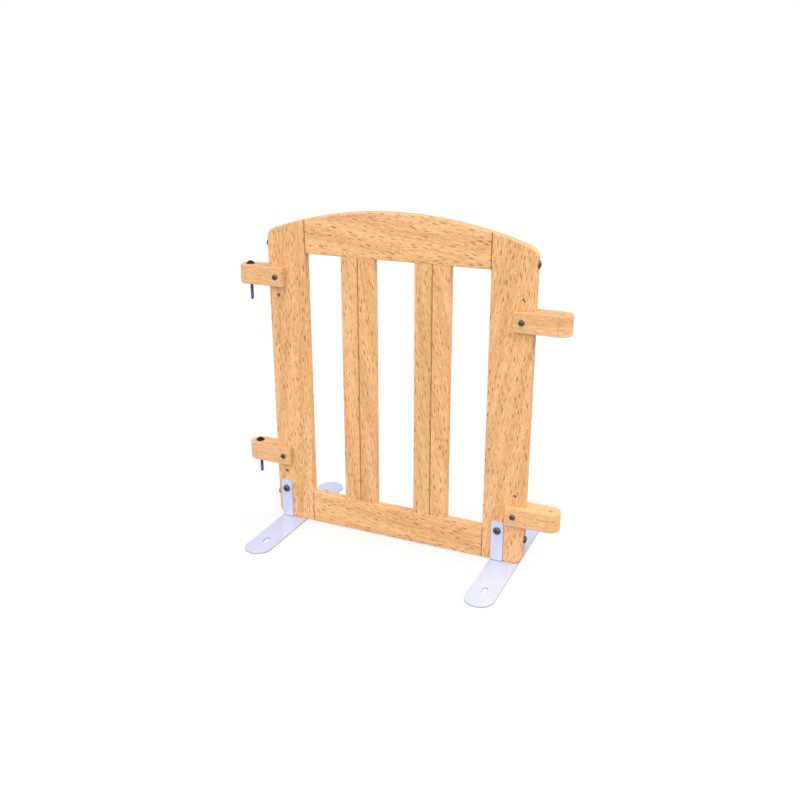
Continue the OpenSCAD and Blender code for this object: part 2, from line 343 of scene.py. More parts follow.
def lacquered_beech(name, pale, deep, fleck, fleck_size, fleck_spacing, fleck_depth):
    """Steamed beech, planed smooth under a clear satin lacquer.

    Short dark ray flecks lie along the grain, on a ground that is streaked lighter and deeper. Real flecks
    are one to three millimetres long, which is too small to see at this distance, so they are drawn several
    times that size. The lacquer adds a soft sheen, over a surface that stays slightly uneven where the
    pores are. A size is (along the grain, across it).
    """
    finish, tree = blank(name)
    timber = add(tree, "Attribute", attribute_name="timber").outputs["Vector"]
    edge_wear_and_shading = add(tree, "Attribute", attribute_name="edge_wear_and_shading").outputs["Fac"]
    shade_and_stain = add(tree, "Attribute", attribute_name="shade_and_stain").outputs["Fac"]

    # Growth drifts the grain sideways by up to about a millimetre
    sway_scale = (1 / (60 * MM), 1 / (25 * MM), 1)
    swaying = add(tree, "VectorMath", {0: timber, 1: sway_scale}, operation="MULTIPLY").outputs[0]
    sway = add(tree, "TexNoise", {"Vector": swaying, "Scale": 1, "Detail": 2}, noise_dimensions="2D")
    shift = add(
        tree, "MapRange",
        {"Value": sway.outputs[0], "From Min": 0, "From Max": 1, "To Min": -1.6 * MM, "To Max": 1.6 * MM},
    ).outputs[0]
    drift = add(tree, "CombineXYZ", {"Y": shift}).outputs[0]
    grain = add(tree, "VectorMath", {0: timber, 1: drift}, operation="ADD").outputs[0]

    def pattern(along, across):
        """The grain's own coordinates in units of one feature of this size."""
        scale = (1 / along, 1 / across, 0)
        return add(tree, "VectorMath", {0: grain, 1: scale}, operation="MULTIPLY").outputs[0]

    def noise(along, across, detail, low, high):
        """Streaks of this size, as a number between low and high."""
        texture = add(
            tree, "TexNoise",
            {"Vector": pattern(along, across), "Scale": 1, "Detail": detail, "Roughness": 0.55},
            noise_dimensions="2D",
        )
        spread = {
            "Value": texture.outputs[0],
            "From Min": 0.3, "From Max": 0.7, "To Min": low, "To Max": high,
        }
        return add(tree, "MapRange", spread).outputs[0]

    def flecks(size, spacing, faintest):
        """Dashes scattered this far apart along the grain, each with its own depth of colour."""
        place = pattern(spacing, spacing * size[1] / size[0])
        # Each column of dashes starts a little later than the last, so that no rows show
        column = add(tree, "SeparateXYZ", {0: place}).outputs["Y"]
        later = add(tree, "Math", {0: column, 1: COLUMN_STAGGER}, operation="MULTIPLY").outputs[0]
        start = add(tree, "CombineXYZ", {"X": later}).outputs[0]
        staggered = add(tree, "VectorMath", {0: place, 1: start}, operation="ADD").outputs[0]
        scattered = add(
            tree, "TexVoronoi", {"Vector": staggered, "Scale": 1, "Randomness": 1}, voronoi_dimensions="2D",
        )
        radius = size[0] / spacing / 2
        edge = {
            "Value": scattered.outputs["Distance"],
            "From Min": radius * 1.1, "From Max": radius * 0.75, "To Min": 0, "To Max": 1,
        }
        dash = add(tree, "MapRange", edge, interpolation_type="SMOOTHSTEP").outputs[0]
        own = add(tree, "SeparateColor", {0: scattered.outputs["Color"]}).outputs[0]
        depth = add(tree, "MapRange", {"Value": own, "To Min": faintest, "To Max": 1}).outputs[0]
        return add(tree, "Math", {0: dash, 1: depth}, operation="MULTIPLY", use_clamp=True).outputs[0]

    def tinted(base, amount, code):
        """A colour with some of another laid over it."""
        inputs = {FACTOR: amount, FIRST: base, SECOND: colour(code)}
        return add(tree, "Mix", inputs, data_type="RGBA").outputs[MIXED]

    fibres = noise(16 * MM, 1.6 * MM, 2, -0.3, 0.3)
    ground = add(tree, "SeparateXYZ", {0: timber}).outputs["Z"]
    for layer in (
        noise(70 * MM, 3.6 * MM, 4, -0.24, 0.24),
        noise(6 * MM, 2.6 * MM, 2, -0.2, 0.2),
        noise(320 * MM, 20 * MM, 2, -0.22, 0.22),
        fibres,
    ):
        ground = add(tree, "Math", {0: ground, 1: layer}, operation="ADD").outputs[0]
    wood = tinted(colour(pale), ground, deep)

    long_flecks = flecks(fleck_size, fleck_spacing, -0.45)
    small_size = (fleck_size[0] * 0.6, fleck_size[1] * 0.6)
    small_flecks = flecks(small_size, fleck_spacing * 0.6, -0.9)
    small_faint = add(tree, "Math", {0: small_flecks, 1: 0.55}, operation="MULTIPLY").outputs[0]
    dashes = add(tree, "Math", {0: long_flecks, 1: small_faint}, operation="MAXIMUM").outputs[0]
    dark = add(tree, "Math", {0: dashes, 1: fleck_depth}, operation="MULTIPLY").outputs[0]
    wood = tinted(wood, dark, fleck)

    # Rounded edges are a little paler and smoother in patches: partly wear from handling and sanding, partly
    # a painted highlight along the edge
    patches = noise(40 * MM, 12 * MM, 2, 0.25, 0.8)
    rubbed_and_highlit = add(tree, "Math", {0: edge_wear_and_shading, 1: patches}, operation="MULTIPLY", use_clamp=True).outputs[0]
    wood = tinted(wood, rubbed_and_highlit, "#E2BC8C")

    # Painted shade in the joint lines and grooves, where lacquer and dust also settle
    joint_shade_and_stain = add(tree, "Math", {0: shade_and_stain, 1: JOINT_SHADE_AND_STAIN}, operation="MULTIPLY").outputs[0]
    wood = tinted(wood, joint_shade_and_stain, "#8A5228")

    sheen_spread = noise(50 * MM, 14 * MM, 3, 0.34, 0.46)
    pores = add(tree, "Math", {0: dashes, 1: 0.16, 2: sheen_spread}, operation="MULTIPLY_ADD").outputs[0]
    roughness = add(tree, "Math", {0: rubbed_and_highlit, 1: -0.12, 2: pores}, operation="MULTIPLY_ADD").outputs[0]
    raised = add(tree, "Math", {0: dashes, 1: -0.6, 2: fibres}, operation="MULTIPLY_ADD").outputs[0]
    bump = add(tree, "Bump", {"Strength": 0.5, "Distance": 0.12 * MM, "Height": raised}).outputs[0]
    surface = add(
        tree, "BsdfPrincipled",
        {
            "Base Color": wood, "Roughness": roughness, "Normal": bump, "IOR": 1.5,
            "Coat Weight": 0.3, "Coat Roughness": 0.2, "Coat IOR": 1.5,
        },
    )
    add(tree, "OutputMaterial", {"Surface": surface.outputs[0]})
    return finish


def turned_metal(name, plate, deep, bare_and_painted_light, roughness, cut_pitch, oil):
    """Metal turned on a lathe, then plated, oxidised or left bright, with a film of oil or wax on it.

    The cutting tool leaves fine rings about the axis, the finish clouds a little from place to place, and it
    is rubbed through to brighter metal in specks along the sharp edges; on the black oxide these bright
    specks are also painted glints. The rings are cut wider than real ones, which would be too fine to see.
    """
    finish, tree = blank(name)
    place = add(tree, "TexCoord").outputs["Object"]
    lathe = add(tree, "Attribute", attribute_name="lathe").outputs["Vector"]
    edge_wear_and_shading = add(tree, "Attribute", attribute_name="edge_wear_and_shading").outputs["Fac"]

    clouds = add(tree, "TexNoise", {"Vector": place, "Scale": 1 / (2.5 * MM), "Detail": 4})
    specks = add(tree, "TexNoise", {"Vector": place, "Scale": 1 / (0.4 * MM), "Detail": 2})
    cloudy = {"Value": clouds.outputs[0], "From Min": 0.35, "From Max": 0.65}
    metal = add(
        tree, "Mix",
        {FACTOR: add(tree, "MapRange", cloudy).outputs[0], FIRST: colour(plate), SECOND: colour(deep)},
        data_type="RGBA",
    ).outputs[MIXED]
    chips = {"Value": specks.outputs[0], "From Min": 0.45, "From Max": 0.65, "To Min": 0, "To Max": 0.6}
    chipped = add(tree, "MapRange", chips).outputs[0]
    rubbed_and_highlit = add(tree, "Math", {0: edge_wear_and_shading, 1: chipped}, operation="MULTIPLY", use_clamp=True).outputs[0]
    metal = add(
        tree, "Mix",
        {FACTOR: rubbed_and_highlit, FIRST: metal, SECOND: colour(bare_and_painted_light)},
        data_type="RGBA",
    ).outputs[MIXED]

    # Distance travelled over the surface, out from the axis and along it, sets the rings' phase
    travel = add(tree, "VectorMath", {0: lathe, 1: (1, 1, 0)}, operation="DOT_PRODUCT").outputs["Value"]
    phase = add(tree, "Math", {0: travel, 1: 2 * math.pi / cut_pitch}, operation="MULTIPLY").outputs[0]
    rings = add(tree, "Math", {0: phase}, operation="SINE").outputs[0]
    height = add(tree, "Math", {0: rings, 1: 0.25, 2: specks.outputs[0]}, operation="MULTIPLY_ADD").outputs[0]
    bump = add(tree, "Bump", {"Strength": 0.35, "Distance": 0.03 * MM, "Height": height}).outputs[0]
    gloss = {
        "Value": clouds.outputs[0], "From Min": 0.3, "From Max": 0.7,
        "To Min": roughness * 0.85, "To Max": roughness * 1.2,
    }
    surface = add(
        tree, "BsdfPrincipled",
        {
            "Base Color": metal, "Metallic": 1.0, "Normal": bump,
            "Roughness": add(tree, "MapRange", gloss).outputs[0],
            "Coat Weight": oil, "Coat Roughness": 0.07, "Coat IOR": 1.45,
        },
    )
    add(tree, "OutputMaterial", {"Surface": surface.outputs[0]})
    return finish


def powder_coat(name):
    """White polyester powder baked on steel plate.

    It is glossy enough to mirror what stands on it, with the very shallow orange-peel ripple of melted powder
    and a slight blue cast. A thin blue-grey line of painted shade runs along its edges and inside the bend.
    """
    finish, tree = blank(name)
    place = add(tree, "TexCoord").outputs["Object"]
    edge_wear_and_shading = add(tree, "Attribute", attribute_name="edge_wear_and_shading").outputs["Fac"]
    shade_and_stain = add(tree, "Attribute", attribute_name="shade_and_stain").outputs["Fac"]
    peel = add(tree, "TexNoise", {"Vector": place, "Scale": 1 / (2.4 * MM), "Detail": 2, "Roughness": 0.45})
    grains = add(tree, "TexNoise", {"Vector": place, "Scale": 1 / (0.35 * MM), "Detail": 2})
    clouds = add(tree, "TexNoise", {"Vector": place, "Scale": 1 / (45 * MM), "Detail": 2})
    drift = {"Value": clouds.outputs[0], "From Min": 0.3, "From Max": 0.7}
    paint = add(
        tree, "Mix",
        {
            FACTOR: add(tree, "MapRange", drift).outputs[0],
            FIRST: colour("#C7CBE4"), SECOND: colour("#C2C6E0"),
        },
        data_type="RGBA",
    ).outputs[MIXED]
    fine = {"Value": grains.outputs[0], "From Min": 0.6, "From Max": 0.75, "To Min": 0, "To Max": 0.15}
    # Painted shade, blue-grey, along the rolled and sheared edges and inside the bend
    bare_and_painted_light = add(tree, "Math", {0: edge_wear_and_shading, 1: shade_and_stain}, operation="MAXIMUM").outputs[0]
    painted_edge_shade = add(tree, "Math", {0: bare_and_painted_light, 1: 0.85}, operation="MULTIPLY").outputs[0]
    for amount, code in ((add(tree, "MapRange", fine).outputs[0], "#B4B8D2"), (painted_edge_shade, "#5E658F")):
        paint = add(
            tree, "Mix",
            {FACTOR: amount, FIRST: paint, SECOND: colour(code)},
            data_type="RGBA",
        ).outputs[MIXED]
    ripple = add(
        tree, "Math", {0: grains.outputs[0], 1: 0.1, 2: peel.outputs[0]}, operation="MULTIPLY_ADD",
    ).outputs[0]
    bump = add(tree, "Bump", {"Strength": 0.1, "Distance": 0.05 * MM, "Height": ripple}).outputs[0]
    gloss = {"Value": clouds.outputs[0], "From Min": 0.3, "From Max": 0.7, "To Min": 0.1, "To Max": 0.16}
    surface = add(
        tree, "BsdfPrincipled",
        {
            "Base Color": paint, "Normal": bump, "IOR": 1.5, "Coat Weight": 0.6, "Coat Roughness": 0.05,
            "Roughness": add(tree, "MapRange", gloss).outputs[0],
        },
    )
    add(tree, "OutputMaterial", {"Surface": surface.outputs[0]})
    return finish


def nylon_patch(name):
    """Blue nylon fused on the thread: matt, faintly granular, and paler where the crests rub it."""
    finish, tree = blank(name)
    place = add(tree, "TexCoord").outputs["Object"]
    edge_wear_and_shading = add(tree, "Attribute", attribute_name="edge_wear_and_shading").outputs["Fac"]
    grains = add(tree, "TexNoise", {"Vector": place, "Scale": 1 / (0.3 * MM), "Detail": 3})
    spread = {"Value": grains.outputs[0], "From Min": 0.35, "From Max": 0.65}
    body = add(
        tree, "Mix",
        {
            FACTOR: add(tree, "MapRange", spread).outputs[0],
            FIRST: colour("#4E48F0"), SECOND: colour("#625CFF"),
        },
        data_type="RGBA",
    ).outputs[MIXED]
    rubbed_and_highlit = add(tree, "Math", {0: edge_wear_and_shading, 1: 0.4}, operation="MULTIPLY").outputs[0]
    body = add(
        tree, "Mix",
        {FACTOR: rubbed_and_highlit, FIRST: body, SECOND: colour("#8E88FF")},
        data_type="RGBA",
    ).outputs[MIXED]
    bump = add(tree, "Bump", {"Strength": 0.4, "Distance": 0.05 * MM, "Height": grains.outputs[0]}).outputs[0]
    surface = add(
        tree, "BsdfPrincipled",
        {"Base Color": body, "Normal": bump, "Roughness": 0.55, "IOR": 1.53},
    )
    add(tree, "OutputMaterial", {"Surface": surface.outputs[0]})
    return finish


board_beech = lacquered_beech(
    "lacquered_beech_boards", "#F1BE86", "#CF955E", "#782A06",
    fleck_size=(9.5 * MM, 1.5 * MM), fleck_spacing=24 * MM, fleck_depth=1,
)
block_beech = lacquered_beech(
    "lacquered_beech_blocks", "#ECBC88", "#CF9860", "#8A5226",
    fleck_size=(5 * MM, 1.5 * MM), fleck_spacing=17 * MM, fleck_depth=0.6,
)
dark_zinc = turned_metal("dark_zinc_plated_steel", "#6C6E6F", "#555555", "#7C7C7A", 0.45, 0.5 * MM, oil=0.3)
# The black oxide's pale bare colour is partly rubbed-through steel and partly painted glints on the heads'
# rims
black_oxide = turned_metal("black_oxide_steel", "#141419", "#0C0C11", "#C4C4CE", 0.2, 0.5 * MM, oil=0.3)
# A paler copy of the bolt's steel for the pivots' threads: partly a cut, oiled thread, partly painted light
# caught on the flanks
lit_thread_steel = turned_metal("oiled_cut_thread_steel_painted_lighter", "#8C8B88", "#6F6E6B", "#9A9995", 0.4, 0.5 * MM, oil=0.3)
bright_zinc = turned_metal("bright_zinc_plated_steel", "#B0B2B6", "#9C9EA4", "#CDCFD2", 0.3, 0.5 * MM, oil=0)
turned_brass = turned_metal("turned_brass", "#BFA35A", "#AC9049", "#D6BE82", 0.26, 0.4 * MM, oil=0)
white_powder = powder_coat("white_powder_coated_steel")
blue_nylon = nylon_patch("blue_nylon_patch")
finish_of = {
    "dark_steel": dark_zinc,
    "black_steel": black_oxide,
    "zinc_steel": bright_zinc,
    "brass": turned_brass,
    "powder_coated_steel": white_powder,
    "blue_nylon": blue_nylon,
}


# ---- Timber ----

# How far the grain runs out across a board, as a part of the board's length
GRAIN_SLOPE = {
    "left_stile": -0.05, "right_stile": -0.17, "top_rail": 0.12, "bottom_rail": 0.08,
    "slat_1": 0.12, "slat_2": 0.17, "slat_3": 0.1, "slat_4": 0.2,
}
draw = random.Random(7)


def lay_grain(obj, grain_axis, thickness_axis, slope=0):
    """Gives each face its place in the piece's own timber, and marks the rounded edges, which the finish
    paints paler: partly wear, partly a painted highlight.

    Across the grain, a face is measured along the axis that lies flattest in it, so the figure runs
    straight over every side and round a turned end.
    """
    start = draw.uniform(0, 3)
    side = draw.uniform(0, 3)
    tone = 0.5 + draw.uniform(-0.06, 0.06)
    mesh = obj.data
    others = [axis for axis in (ALONG_X, ALONG_Y, ALONG_Z) if axis != grain_axis]
    timber = mesh.attributes.new("timber", "FLOAT_VECTOR", "CORNER")
    rounded = [True] * len(mesh.vertices)
    for face in mesh.polygons:
        across_axis = min(others, key=lambda axis: abs(face.normal[axis]))
        for corner in face.loop_indices:
            place = mesh.vertices[mesh.loops[corner].vertex_index].co
            along = place[grain_axis]
            timber.data[corner].vector = (along + start, place[across_axis] + slope * along + side, tone)
        if not 0.12 < abs(face.normal[thickness_axis]) < 0.985:
            for index in face.vertices:
                rounded[index] = False
    edge_wear_and_shading = mesh.attributes.new("edge_wear_and_shading", "FLOAT", "POINT")
    for flag, value in zip(rounded, edge_wear_and_shading.data):
        value.value = 1.0 if flag else 0.0


def paint_shade_and_stain(obj, amount):
    """Marks each face with amount(face), from 0 to 1: how much painted shade it gets in a groove, crease or
    bend; along the wood's joints this also stands for lacquer and dust that settle there.
    """
    shade_and_stain = obj.data.attributes.new("shade_and_stain", "FLOAT", "FACE")
    for face, value in zip(obj.data.polygons, shade_and_stain.data):
        value.value = float(amount(face))


corner_x = edge_x - CORNER_R
corner_rise = math.sqrt((ARCH_R - CORNER_R) ** 2 - corner_x ** 2)
corner_angle = math.degrees(math.atan2(corner_rise, corner_x))
inner_angle = math.degrees(math.acos(inner_x / ARCH_R))


def at_joint(edge):
    """Is this edge on the line where a rail meets a stile?"""
    return all(abs(abs(vert.co.x) - inner_x) < 1e-6 for vert in edge.verts)


def beside_joint(face):
    """Is this face on the eased line where a rail meets a stile?"""
    x, _, z = face.center
    slanted = abs(face.normal.x) > 0.1 and abs(face.normal.y) > 0.1
    return slanted and abs(abs(x) - inner_x) < JOINT_EASE and (z < bottom_high.z or z > top_low.z)


def across_board(edge):
    """Does this edge run through the board's thickness?"""
    return abs(edge.verts[0].co.y - edge.verts[1].co.y) > 1e-6


def stile(node, side, drilled):
    outline = [(inner_x, panel_z)]
    outline += arc((corner_x, panel_z + CORNER_R), CORNER_R, -90, 0, 10)
    outline += arc((corner_x, arch_z + corner_rise), CORNER_R, 0, corner_angle, 9)
    outline += arc((0, arch_z), ARCH_R, corner_angle, inner_angle, 8)[1:]
    outline += [(inner_x, top_low.z), (inner_x, bottom_high.z)]
    board = slab([(side * x, z) for x, z in outline], -face_y, face_y, upright=True)
    holes = [
        drill((side * (edge_x - HOLE_INSET), 0, z), (0, 1, 0), BOLT_HOLE_R, 2 * face_y)
        for z in drilled
    ]

    def radius_of(edge):
        if across_board(edge):
            return 0
        return JOINT_EASE if at_joint(edge) else STILE_EASE

    obj = worked("finished_" + node, board, holes, radius_of)
    lay_grain(obj, ALONG_Z, ALONG_Y, GRAIN_SLOPE[node])
    # Painted shade and stain along the joint lines with the rails
    paint_shade_and_stain(obj, beside_joint)
    return shown(obj, node, board_beech)


def rail(node, outline, nut_z):
    board = slab(outline, -face_y, face_y, upright=True)
    holes = []
    for name in SIDES:
        low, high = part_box(node.replace("rail", name) + "_barrel_nut")
        middle = (low + high) / 2
        radius = (high.x - low.x) / 2 + 0.1 * MM
        pocket = [
            (0, low.y - 0.1 * MM), (radius, low.y - 0.1 * MM), (radius, face_y - HOLE_EASE),
            (radius + HOLE_EASE + PAST, face_y + PAST), (0, face_y + PAST),
        ]
        holes.append(stood(turned(pocket, 40), (middle.x, 0, nut_z), (0, 1, 0)))

    def radius_of(edge):
        if across_board(edge):
            return 0
        return JOINT_EASE if at_joint(edge) else RAIL_EASE

    obj = worked("finished_" + node, board, holes, radius_of)
    lay_grain(obj, ALONG_X, ALONG_Y, GRAIN_SLOPE[node])
    # Painted shade and stain along the joint lines with the stiles
    paint_shade_and_stain(obj, beside_joint)
    return shown(obj, node, board_beech)


def slat(node, twin_side):
    """A slat with a tenon on each end, which touches its twin on one side.

    Its shoulders are scribed to the rails' rounded edges.
    """
    low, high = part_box(node)
    twin_x = high.x if twin_side == RIGHT else low.x
    shoulder_low = bottom_high.z - SCRIBE
    shoulder_high = top_low.z + SCRIBE
    outline = [(low.x, low.y), (high.x, low.y), (high.x, high.y), (low.x, high.y)]
    board = slab(outline, shoulder_low, shoulder_high, upright=False)
    middle = (low + high) / 2
    for face in [f for f in board.faces if abs(f.normal.z) > 0.5]:
        end_z = high.z if face.normal.z > 0 else low.z
        rings = [list(face.verts)]
        for z in (face.verts[0].co.z, end_z):
            ring = []
            for vert in rings[0]:
                x = middle.x + math.copysign(TENON_W / 2, vert.co.x - middle.x)
                y = middle.y + math.copysign(TENON_T / 2, vert.co.y - middle.y)
                ring.append(board.verts.new((x, y, z)))
            rings.append(ring)
        board.faces.remove(face)
        for lower, upper in zip(rings, rings[1:]):
            for i in range(4):
                j = (i + 1) % 4
                board.faces.new((lower[i], lower[j], upper[j], upper[i]))
        board.faces.new(rings[-1])
    bmesh.ops.recalc_face_normals(board, faces=board.faces)

    def radius_of(edge):
        first, second = (vert.co for vert in edge.verts)
        long_edge = abs(first.z - second.z) > abs(shoulder_high - shoulder_low) * 0.9
        return SLAT_EASE if long_edge else 0

    def beside_twin(face):
        slanted = abs(face.normal.x) > 0.1 and abs(face.normal.y) > 0.1
        return slanted and abs(face.center.x - twin_x) < SLAT_EASE

    obj = worked("finished_" + node, board, (), radius_of)
    lay_grain(obj, ALONG_Z, ALONG_Y, GRAIN_SLOPE[node])
    # Painted shade and stain in the groove against its twin
    paint_shade_and_stain(obj, beside_twin)
    return shown(obj, node, board_beech)


def hinge_block(node, side, insert=None):
    """A straight body with a round end, forked to straddle the stile, and drilled for its two bolts."""
    low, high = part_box(node)
    half = high.y
    fork_x = min(abs(low.x), abs(high.x))
    pivot_x = max(abs(low.x), abs(high.x)) - half
    slot_y = face_y + FORK_PLAY
    slot_x = edge_x + FORK_PLAY
    outline = [(slot_x, -slot_y), (fork_x, -slot_y)]
    outline += arc((fork_x + FORK_END_R, -half + FORK_END_R), FORK_END_R, 180, 270, 5)
    outline += [(pivot_x - END_LINE, -half)] + arc((pivot_x, 0), half, -90, 90, 28)
    outline += [(pivot_x - END_LINE, half)]
    outline += arc((fork_x + FORK_END_R, half - FORK_END_R), FORK_END_R, 90, 180, 5)
    outline += [(fork_x, slot_y), (slot_x, slot_y)]
    body = slab([(side * x, y) for x, y in outline], low.z, high.z, upright=False)
    middle_z = (low.z + high.z) / 2
    holes = [
        drill((side * (edge_x - HOLE_INSET), 0, middle_z), (0, 1, 0), BOLT_HOLE_R, 2 * half),
    ]
    if insert:
        seat_low, seat_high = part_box(insert)
        flange_r = (seat_high.x - seat_low.x) / 2 + 0.1 * MM
        body_r = INSERT_R + 0.1 * MM
        flange_top = seat_low.z + INSERT_FLANGE
        stations = [
            (0, low.z - PAST), (flange_r, low.z - PAST), (flange_r, flange_top), (body_r, flange_top),
            (body_r, seat_high.z), (BOLT_HOLE_R, seat_high.z), (BOLT_HOLE_R, high.z - HOLE_EASE),
            (BOLT_HOLE_R + HOLE_EASE + PAST, high.z + PAST), (0, high.z + PAST),
        ]
        holes.append(stood(turned(stations, 40), (side * pivot_x, 0, 0), (0, 0, 1)))
    else:
        holes.append(drill((side * pivot_x, 0, middle_z), (0, 0, 1), BOLT_HOLE_R, high.z - low.z))

    def radius_of(edge):
        first, second = (vert.co for vert in edge.verts)
        if abs(first.z - second.z) > 1e-6:
            return 0
        inside = all(abs(vert.co.y) < slot_y + 1e-6 and abs(vert.co.x) < slot_x + 1e-6 for vert in edge.verts)
        return FORK_EASE if inside else BLOCK_EASE

    def at_round_end(face):
        return 0 < pivot_x - abs(face.center.x) < END_LINE and abs(face.normal.y) > 0.9

    obj = worked("finished_" + node, body, holes, radius_of)
    lay_grain(obj, ALONG_X, ALONG_Z)
    # A painted shade line on the narrow flat where the side meets the round end
    paint_shade_and_stain(obj, at_round_end)
    return shown(obj, node, block_beech)


block_heights = {
    (level, name): sum(corner.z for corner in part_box(f"{level}_{name}_block")) / 2
    for level in LEVELS
    for name in SIDES
}
drilled_heights = sorted(block_heights.values())
for name, side in SIDES.items():
    stile(name + "_stile", side, drilled_heights)

arch_outline = [(-inner_x, top_low.z), (inner_x, top_low.z)]
arch_outline += arc((0, arch_z), ARCH_R, inner_angle, 180 - inner_angle, 40)
straight_outline = [
    (-inner_x, bottom_low.z), (inner_x, bottom_low.z), (inner_x, bottom_high.z), (-inner_x, bottom_high.z),
]
rail("top_rail", arch_outline, sum(c.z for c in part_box("top_left_barrel_nut")) / 2)
rail("bottom_rail", straight_outline, sum(c.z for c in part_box("bottom_left_barrel_nut")) / 2)

for number in range(1, 5):
    slat(f"slat_{number}", RIGHT if number % 2 else LEFT)
for level in LEVELS:
    for name, side in SIDES.items():
        insert = f"{level}_threaded_insert" if side == RIGHT else None
        hinge_block(f"{level}_{name}_block", side, insert)


# ---- Fasteners ----

def button_head(size):
    """Rings of a domed head from its rim up and down into the hexagonal socket, as a list of stations."""
    diameter, height, key = size
    radius = diameter / 2
    flat_r = key * 0.5 / math.cos(math.pi / 6) + 0.55 * MM
    # The rim and the socket's edge carry the edge wear mark, which on the black heads also paints glints
    stations = [(radius - 0.25 * MM, 0), (radius, 0.25 * MM, 1)]
    steps = 9
    for step in range(1, steps + 1):
        turn = math.pi / 2 * step / steps
        r = flat_r + (radius - flat_r) * math.cos(turn)
        z = 0.25 * MM + (height - 0.25 * MM) * math.sin(turn)
        stations.append((r, z))
    socket = height * 0.6
    stations += [
        (hexagon(key + 0.35 * MM), height, 1),
        (hexagon(key), height - 0.18 * MM, 0.6),
        (hexagon(key), height - socket),
        (key * 0.42, height - socket),
        (0, height - socket - 0.5 * MM),
    ]
    return stations


def thread_radius(height, depth=THREAD_DEPTH, outer=THREAD_R):
    """The thread's radius round one ring at this height."""
    def radius(angle):
        turn = (height / PITCH - angle / (2 * math.pi)) % 1
        tooth = abs(2 * turn - 1)
        groove = (tooth - CREST_FLAT) / (1 - CREST_FLAT - ROOT_FLAT)
        return outer - depth * min(max(groove, 0), 1)
    return radius


def bolt(node, seat, direction, size, radius, length):
    """A button-head bolt. direction points out of the head, and the shank runs the other way."""
    stations = [(0, -length), (radius - 1 * MM, -length), (radius, -length + 1 * MM), (radius, -0.2 * MM)]
    stations += [(radius + 0.2 * MM, 0)] + button_head(size)
    obj = linked("finished_" + node, stood(turned(stations), seat, direction))
    return shown(obj, node, finish_of[slot_of[node]], crease=32)


def pivot_bolt(node, washer, block, patch):
    """A button-head bolt with a plain shank inside its block and a cut thread on its free end."""
    low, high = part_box(node)
    seat_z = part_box(washer)[1].z
    free_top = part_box(block)[0].z - 1 * MM
    middle = (low + high) / 2
    stations = [(0, low.z), (THREAD_R - 1.1 * MM, low.z, 0.5)]
    rows = round((free_top - low.z) / PITCH * ROWS_PER_PITCH)
    for row in range(1, rows + 1):
        z = low.z + (free_top - low.z) * row / rows
        run_in = min((z - low.z) / (1.2 * MM), 1)
        run_out = min((free_top - z) / PITCH, 1)
        stations.append((thread_radius(z, THREAD_DEPTH * run_out, THREAD_R - (1 - run_in) * 1.0 * MM), z))
    stations += [(BOLT_R, free_top + 0.2 * MM), (BOLT_R, seat_z - 0.2 * MM), (BOLT_R + 0.2 * MM, seat_z)]
    stations += [(r, seat_z + z, *rest) for r, z, *rest in button_head(SMALL_HEAD)]
    obj = linked("finished_" + node, stood(turned(stations, 36), (middle.x, middle.y, 0), (0, 0, 1)))
    shown(obj, node, black_oxide, crease=32)
    # The thread gets the paler copy of the steel, painted lighter for the light its flanks catch
    obj.data.materials.append(lit_thread_steel)
    for face in obj.data.polygons:
        face.material_index = 1 if face.center.z < free_top else 0

    patch_low, patch_high = (corner.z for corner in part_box(patch))
    rows = round((patch_high - patch_low) / PITCH * ROWS_PER_PITCH)
    skin = []
    for row in range(rows + 1):
        z = patch_low + (patch_high - patch_low) * row / rows
        ends = min(row, rows - row) / ROWS_PER_PITCH
        skin.append((thread_radius(z, THREAD_DEPTH * 0.55, THREAD_R + PATCH_T * min(0.3 + ends, 1)), z))
    inside = THREAD_R - THREAD_DEPTH - 0.05 * MM
    skin += [(inside, patch_high), (inside, patch_low)]
    sleeve = turned(skin, 36, closed=True)
    obj = linked("finished_" + patch, stood(sleeve, (middle.x, middle.y, 0), (0, 0, 1)))
    shown(obj, patch, blue_nylon, crease=60)


def washer(node, direction, bore_r):
    """A stamped washer: its upper edges are slightly rolled over."""
    low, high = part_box(node)
    middle = (low + high) / 2
    size = high - low
    thick = min(size)
    radius = max(size) / 2
    roll = 0.25 * MM
    stations = [
        (bore_r, -thick / 2), (radius, -thick / 2, 0.4), (radius, thick / 2 - roll),
        (radius - 0.3 * roll, thick / 2 - 0.3 * roll, 1), (radius - roll, thick / 2),
        (bore_r + roll, thick / 2), (bore_r, thick / 2 - roll, 1),
    ]
    obj = linked("finished_" + node, stood(turned(stations, 64, closed=True), middle, direction))
    return shown(obj, node, finish_of[slot_of[node]])


def domed_nut(node, seat, direction, size, bore_r):
    """A cap nut: a hexagon with chamfered corners under a hemisphere."""
    flats, tall, dome = size
    chamfer = 0.5 * MM
    full = hexagon(flats)

    def cornered(limit):
        return lambda angle: min(full(angle), limit)

    widest = flats / 2 / math.cos(math.pi / 6)
    stations = [
        (0, tall), (bore_r, tall - 0.5 * MM), (bore_r, 0.3 * MM), (bore_r + 0.3 * MM, 0),
        (cornered(flats / 2 * 0.985), 0), (cornered(widest - 0.2 * MM), chamfer * 0.6, 0.8),
        (full, chamfer, 0.4), (full, tall - chamfer, 0.4),
        (cornered(widest - 0.2 * MM), tall - chamfer * 0.6, 0.8), (cornered(flats / 2 * 0.985), tall, 0.3),
    ]
    steps = 10
    for step in range(steps):
        turn = math.pi / 2 * step / steps
        stations.append((dome / 2 * math.cos(turn), tall + dome / 2 * math.sin(turn)))
    stations.append((0, tall + dome / 2))
    obj = linked("finished_" + node, stood(turned(stations), seat, direction))
    return shown(obj, node, bright_zinc, crease=32)


